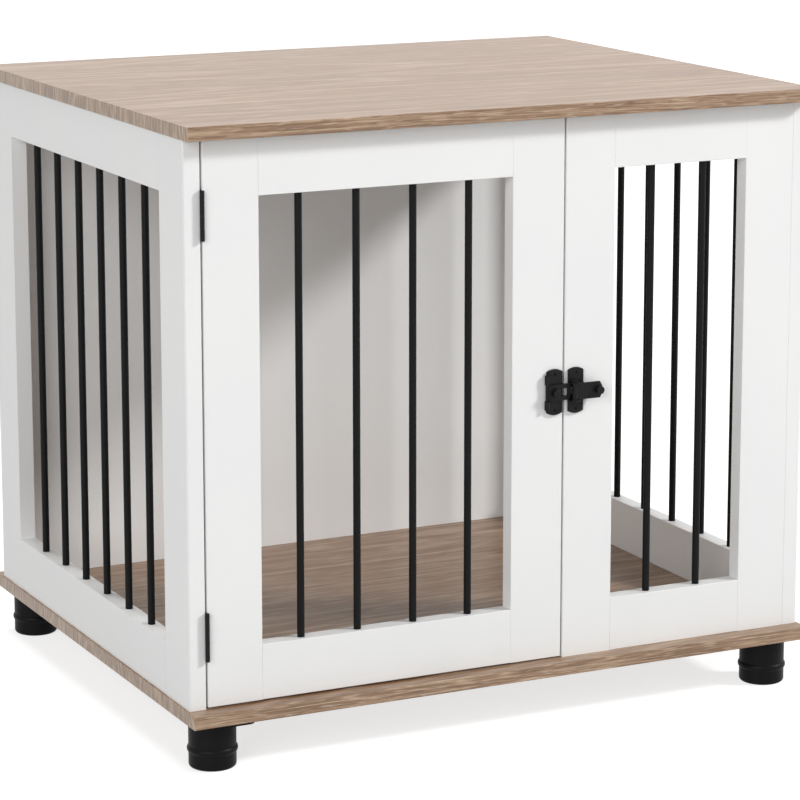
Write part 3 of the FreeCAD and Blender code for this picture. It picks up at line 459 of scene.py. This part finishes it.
# ---- wood screws -------------------------------------------------------------------------------
# Countersunk steel screws with a rolled right-hand thread and a cross recess: zinc-plated ones up
# through the base board and the legs' tabs, blackened ones in the hinges and the latch.
ZINC = (0.56, 0.56, 0.54, 1)
ZINC_DULL = (0.44, 0.44, 0.43, 1)
ZINCS_AT = (0.35, 0.65)
ZINC_ROUGHNESS = (0.26, 0.40)
METAL_PER_M = 700.0
METAL_DETAIL = 3.0
METAL_RELIEF = 0.00001
SCREW_SIDES = 24
CONE_PER_STEP = 1.24
PLAIN_SHARE = 0.32
PLAIN_RADIUS = 0.90
CORE_RADIUS = 0.72
TIP_RADIUS = 0.06
POINT_PER_RADIUS = 1.9
WOOD_PITCH = 0.90
WOOD_TOOTH = 0.20
TOOTH_SIDES = 3
TOOTH_AT_END = 0.1
THREAD_STEPS = 16
THREAD_RUN_OUT = 0.04
CROSS_REACH = 0.62
CROSS_REACH_BELOW = 0.30
CROSS_DEPTH = 0.50
CROSS_THIN = 0.27
CROSS_PROUD = 0.03
TO_BACK = Vector((0, 1, 0))
TO_RIGHT = Vector((1, 0, 0))


def metal(name, roughness):
    """Bare zinc, brighter and duller in small patches."""
    material, tree, shader = new_material(name)
    patch = noise(tree, place_on(tree), METAL_DETAIL, METAL_PER_M)
    shader.inputs["Metallic"].default_value = 1.0
    surface(tree, shader, ramp(tree, patch, ZINCS_AT, (ZINC_DULL, ZINC)), patch, roughness, patch,
            METAL_RELIEF)
    return material


def moved(tree, shape, **change):
    return add(tree, "GeometryNodeTransform", {"Geometry": shape, **change}).outputs[0]


def thread(tree, low, high, crest, pitch, tooth):
    """A right-hand thread between two heights: a three-sided tooth that runs out at both ends."""
    rise = reckon(tree, high, "-", low)
    radius = reckon(tree, crest, "-", tooth)
    path = {"Resolution": THREAD_STEPS, "Rotations": reckon(tree, rise, "/", pitch), "Start Radius": radius,
            "End Radius": radius, "Height": rise, "Reverse": True}
    spiral = add(tree, "GeometryNodeCurveSpiral", path).outputs[0]
    upright = add(tree, "GeometryNodeSetCurveNormal", {0: spiral}, mode="Z_UP").outputs[0]
    raised = moved(tree, upright, Translation=step_along(tree, "Z", low))
    along = add(tree, "GeometryNodeSplineParameter").outputs["Factor"]
    from_end = reckon(tree, along, "least", reckon(tree, 1.0, "-", along))
    size = map_range(tree, from_end, TOOTH_AT_END, 1.0, 0.0, THREAD_RUN_OUT)
    return swept(tree, raised, circle(tree, TOOTH_SIDES), reckon(tree, size, "*", tooth))


def joined(tree, *shapes):
    both = tree.nodes.new("GeometryNodeJoinGeometry")
    for shape in shapes:
        tree.links.new(shape, both.inputs[0])
    return both.outputs[0]


def cross_recess(tree, solid, head):
    """Cuts a tapered cross for the driver into a head that lies at height nought."""
    wing = add(tree, "GeometryNodeMeshCone", {
        "Vertices": 4, "Radius Bottom": reckon(tree, head, "*", CROSS_REACH * math.sqrt(2)),
        "Radius Top": reckon(tree, head, "*", CROSS_REACH_BELOW * math.sqrt(2)),
        "Depth": reckon(tree, head, "*", CROSS_DEPTH)}).outputs[0]
    square = moved(tree, wing, Rotation=(0, 0, math.pi / 4))
    proud = step_along(tree, "Z", reckon(tree, head, "*", -CROSS_PROUD))
    thin = moved(tree, square, Translation=proud, Scale=(1, CROSS_THIN, 1))
    other = moved(tree, thin, Rotation=(0, 0, math.pi / 2))
    cut = add(tree, "GeometryNodeMeshBoolean", {"Mesh 1": solid, "Mesh 2": thin}, operation="DIFFERENCE",
              solver="EXACT")
    tree.links.new(other, cut.inputs["Mesh 2"])
    return cut.outputs[0]


def screw_sizes(rings):
    """Head, shank and length of a screw; its shank is the widest ring in the far half."""
    length = rings[-1][0]
    return {"Head": max(r for h, r in rings), "Shank": max(r for h, r in rings if h > length / 2),
            "Length": length}


zinc = metal("zinc_steel", ZINC_ROUGHNESS)
wood_screw, sizes = geometry_tree("wood_screw", ("Head", "Shank", "Length"))
head, shank, length = sizes["Head"], sizes["Shank"], sizes["Length"]
cone = reckon(wood_screw, reckon(wood_screw, head, "-", shank), "*", CONE_PER_STEP)
plain_end = reckon(wood_screw, length, "*", PLAIN_SHARE)
point_start = reckon(wood_screw, length, "-", reckon(wood_screw, shank, "*", POINT_PER_RADIUS))
plain = reckon(wood_screw, shank, "*", PLAIN_RADIUS)
core = reckon(wood_screw, shank, "*", CORE_RADIUS)
thread_start = reckon(wood_screw, plain_end, "+", reckon(wood_screw, shank, "-", core))
shape = turned(wood_screw, [(0.0, head), (cone, plain), (plain_end, plain), (thread_start, core),
                            (point_start, core), (length, reckon(wood_screw, shank, "*", TIP_RADIUS))],
               circle(wood_screw, SCREW_SIDES))
winding = thread(wood_screw, thread_start, point_start, shank, reckon(wood_screw, shank, "*", WOOD_PITCH),
                 reckon(wood_screw, shank, "*", WOOD_TOOTH))
repeat_and_end(wood_screw, sizes, joined(wood_screw, cross_recess(wood_screw, shape, head), winding))

for node, direction, body, material, slot in (
        ("base_screws", UP, "frame", zinc, "zinc_steel"),
        ("leg_screws", UP, "frame", zinc, "zinc_steel"),
        ("hinge_frame_screws", -TO_RIGHT, "frame", hardware, "black_hardware"),
        ("hinge_door_screws", TO_RIGHT, "door", hardware, "black_hardware"),
        ("latch_loop_screws", TO_BACK, "door", hardware, "black_hardware"),
        ("latch_base_screws", TO_BACK, "frame", hardware, "black_hardware")):
    grow(node, "_threaded", wood_screw, screw_sizes, direction, material, body)

# ---- cam fittings and leg bolts ----------------------------------------------------------------
# Zinc cams in the rails' inner faces grip the heads of steel studs screwed up into the top board.
# Each leg is screwed onto a double-ended bolt that stands in the base board.
CAST_ROUGHNESS = (0.42, 0.58)
MACHINE_PITCH = 0.001
MACHINE_TOOTH = 0.00045
TOOTH_TO_CORE = 1.4
STUD_CHAMFER = 0.0005


def stud_sizes(rings):
    """A stud's head, neck, collar and threaded end, read from the heights where its rings lie."""
    levels = sorted({h for h, r in rings})
    widest = max(r for h, r in rings)
    return {"Head": widest, "Head height": levels[1], "Collar from": levels[2], "Collar to": levels[3],
            "Neck": min(r for h, r in rings if h == levels[2] and r > widest / 2), "Length": levels[4],
            "Thread": max(r for h, r in rings if h == levels[4])}


def threaded_core(tree, crest):
    return reckon(tree, crest, "-", MACHINE_TOOTH * TOOTH_TO_CORE)


casting = metal("zinc_casting", CAST_ROUGHNESS)
dress(["cam_locks"], casting)
cam_stud, sizes = geometry_tree("cam_stud", ("Head", "Head height", "Neck", "Collar from", "Collar to",
                                             "Thread", "Length"))
eased = reckon(cam_stud, sizes["Head"], "-", STUD_CHAMFER)
core = threaded_core(cam_stud, sizes["Thread"])
last = reckon(cam_stud, sizes["Length"], "-", STUD_CHAMFER)
collar_full = reckon(cam_stud, sizes["Collar from"], "+", STUD_CHAMFER)
shape = turned(cam_stud, [
    (0.0, eased), (STUD_CHAMFER, sizes["Head"]), (sizes["Head height"], sizes["Head"]),
    (sizes["Head height"], sizes["Neck"]), (sizes["Collar from"], sizes["Neck"]),
    (sizes["Collar from"], eased), (collar_full, sizes["Head"]), (sizes["Collar to"], sizes["Head"]),
    (sizes["Collar to"], core), (last, core),
    (sizes["Length"], reckon(cam_stud, core, "-", STUD_CHAMFER))], circle(cam_stud, SCREW_SIDES))
winding = thread(cam_stud, sizes["Collar to"], last, sizes["Thread"], MACHINE_PITCH, MACHINE_TOOTH)
repeat_and_end(cam_stud, sizes, joined(cam_stud, shape, winding))
grow("cam_studs", "_threaded", cam_stud, stud_sizes, UP, zinc, "frame")

leg_bolt, sizes = geometry_tree("leg_bolt", ("Radius", "Length"))
core = threaded_core(leg_bolt, sizes["Radius"])
end = reckon(leg_bolt, core, "-", STUD_CHAMFER)
last = reckon(leg_bolt, sizes["Length"], "-", STUD_CHAMFER)
shape = turned(leg_bolt, [(0.0, end), (STUD_CHAMFER, core), (last, core), (sizes["Length"], end)],
               circle(leg_bolt, SCREW_SIDES))
winding = thread(leg_bolt, STUD_CHAMFER, last, sizes["Radius"], MACHINE_PITCH, MACHINE_TOOTH)
repeat_and_end(leg_bolt, sizes, joined(leg_bolt, shape, winding))
grow("leg_bolts", "_threaded", leg_bolt, bar_sizes, UP, zinc, "frame")

# ---- dowels ------------------------------------------------------------------------------------
# Fluted beech dowels with chamfered ends, glued into the butt joints of the frames, into the door
# and along the back. The flutes let the air and the spare glue out.
BEECH = (0.60, 0.42, 0.26, 1)
BEECH_DARK = (0.47, 0.31, 0.18, 1)
BEECHES_AT = (0.38, 0.60)
BEECH_ROUGHNESS = (0.55, 0.70)
BEECH_PER_M = 520.0
BEECH_DETAIL = 3.0
BEECH_RELIEF = 0.00004
DOWEL_CHAMFER = 0.0008
FLUTES = 20
FLUTE_FLOOR = 0.93

beech, tree, shader = new_material("beech_dowel")
fleck = noise(tree, place_on(tree), BEECH_DETAIL, BEECH_PER_M)
surface(tree, shader, ramp(tree, fleck, BEECHES_AT, (BEECH_DARK, BEECH)), fleck, BEECH_ROUGHNESS,
        fleck, BEECH_RELIEF)

fluted_dowel, sizes = geometry_tree("fluted_dowel", ("Radius", "Length"))
end = reckon(fluted_dowel, sizes["Radius"], "-", DOWEL_CHAMFER)
last = reckon(fluted_dowel, sizes["Length"], "-", DOWEL_CHAMFER)
flutes = add(fluted_dowel, "GeometryNodeCurveStar", {"Points": FLUTES, "Inner Radius": FLUTE_FLOOR,
                                                     "Outer Radius": 1.0, "Twist": 0.0}).outputs[0]
shape = turned(fluted_dowel, [(0.0, end), (DOWEL_CHAMFER, sizes["Radius"]), (last, sizes["Radius"]),
                              (sizes["Length"], end)], flutes)
repeat_and_end(fluted_dowel, sizes, shape)
for node, direction, body in (("frame_dowels", TO_BACK, "frame"), ("panel_dowels", TO_RIGHT, "frame"),
                              ("back_dowels", TO_RIGHT, "frame"), ("door_dowels", TO_RIGHT, "door")):
    grow(node, "_fluted", fluted_dowel, bar_sizes, direction, beech, body)

# ---- floor, light and camera -------------------------------------------------------------------
# A pale floor that keeps the table's shadow and fades to white far off, a white surround, the
# photograph's viewpoint and three soft lamps: one shines in through the right side frame and
# lights the back, one hangs over the top board, and a large one fills the front and the left.
FLOOR_HALF = 40.0
FLOOR_COLOUR = (0.50, 0.50, 0.50, 1)
FLOOR_LIFT = (0.72, 0.90)
FLOOR_LIFT_FROM = 1.0
FLOOR_LIFT_TO = 4.5
BRIGHT = (1, 1, 1, 1)
SURROUND = 0.18
LAMP_DISTANCE = 6.0
LAMPS = {"side_lamp": ((1.0, -0.62, 0.68), 0.8, 275.0),
         "top_lamp": ((-0.05, 0.3, 1.0), 3.0, 215.0),
         "fill_lamp": ((-1.0, -0.85, 0.45), 3.4, 182.0)}
FRAME_PX = 800
FOCAL_PX = 3182.8
AXIS_ROW_PX = 320
CAMERA_AT = Vector((-1.2526, -2.5898, 0.8788))
CAMERA_YAW = math.radians(26.022)
CAMERA_PITCH = math.radians(10.993)
CAMERA_ROLL = math.radians(0.031)

floor_mesh = bpy.data.meshes.new("floor")
floor_mesh.from_pydata([(-FLOOR_HALF, -FLOOR_HALF, 0), (FLOOR_HALF, -FLOOR_HALF, 0),
                        (FLOOR_HALF, FLOOR_HALF, 0), (-FLOOR_HALF, FLOOR_HALF, 0)], [], [(0, 1, 2, 3)])
floor = bpy.data.objects.new("floor", floor_mesh)
scene.collection.objects.link(floor)


def seen_straight(tree):
    """1 for rays from the camera, a mirror or glass, and 0 for the light that falls on things."""
    path = add(tree, "ShaderNodeLightPath").outputs
    mirrored = reckon(tree, path["Is Camera Ray"], "most", path["Is Glossy Ray"])
    return reckon(tree, mirrored, "most", path["Is Transmission Ray"])


pale_floor, tree, shader = new_material("pale_floor")
shader.inputs["Base Color"].default_value = FLOOR_COLOUR
shader.inputs["Roughness"].default_value = 1.0
shader.inputs["Specular IOR Level"].default_value = 0.0
shader.inputs["Emission Color"].default_value = BRIGHT
# Painted light: for camera and glossy rays the floor also glows, more the farther it lies from the table,
# which whitens the far floor where the lamps fall off.
from_table = add(tree, "ShaderNodeVectorMath", {0: place_on(tree)}, operation="LENGTH").outputs["Value"]
lift = map_range(tree, from_table, *FLOOR_LIFT, FLOOR_LIFT_FROM, FLOOR_LIFT_TO)
tree.links.new(reckon(tree, seen_straight(tree), "*", lift), shader.inputs["Emission Strength"])
floor_mesh.materials.append(pale_floor)

world = bpy.data.worlds.new("surround")
world.use_nodes = True
scene.world = world
tree = world.node_tree
lit = tree.nodes["Background"]
lit.inputs["Color"].default_value = BRIGHT
lit.inputs["Strength"].default_value = SURROUND
seen = add(tree, "ShaderNodeBackground", {"Color": BRIGHT, "Strength": 1.0})
either = add(tree, "ShaderNodeMixShader", {0: seen_straight(tree), 1: lit.outputs[0], 2: seen.outputs[0]})
tree.links.new(either.outputs[0], tree.nodes["World Output"].inputs["Surface"])

centre = (cad_low + cad_high) / 2
for name, (towards, size, watts) in LAMPS.items():
    away = Vector(towards).normalized()
    lamp_data = bpy.data.lights.new(name, "AREA")
    lamp_data.shape = "SQUARE"
    lamp_data.size = size
    lamp_data.energy = watts
    lamp = bpy.data.objects.new(name, lamp_data)
    lamp.location = centre + away * LAMP_DISTANCE
    lamp.rotation_euler = (-away).to_track_quat("-Z", "Y").to_euler()
    scene.collection.objects.link(lamp)

camera_data = bpy.data.cameras.new("camera")
camera_data.lens = FOCAL_PX / FRAME_PX * camera_data.sensor_width
camera_data.shift_y = (AXIS_ROW_PX - FRAME_PX / 2) / FRAME_PX
camera_data.clip_end = 2 * FLOOR_HALF
camera = bpy.data.objects.new("camera", camera_data)
camera.location = CAMERA_AT
camera.rotation_euler = (math.pi / 2 - CAMERA_PITCH, CAMERA_ROLL, -CAMERA_YAW)
scene.collection.objects.link(camera)
scene.camera = camera
scene.view_settings.view_transform = "Standard"
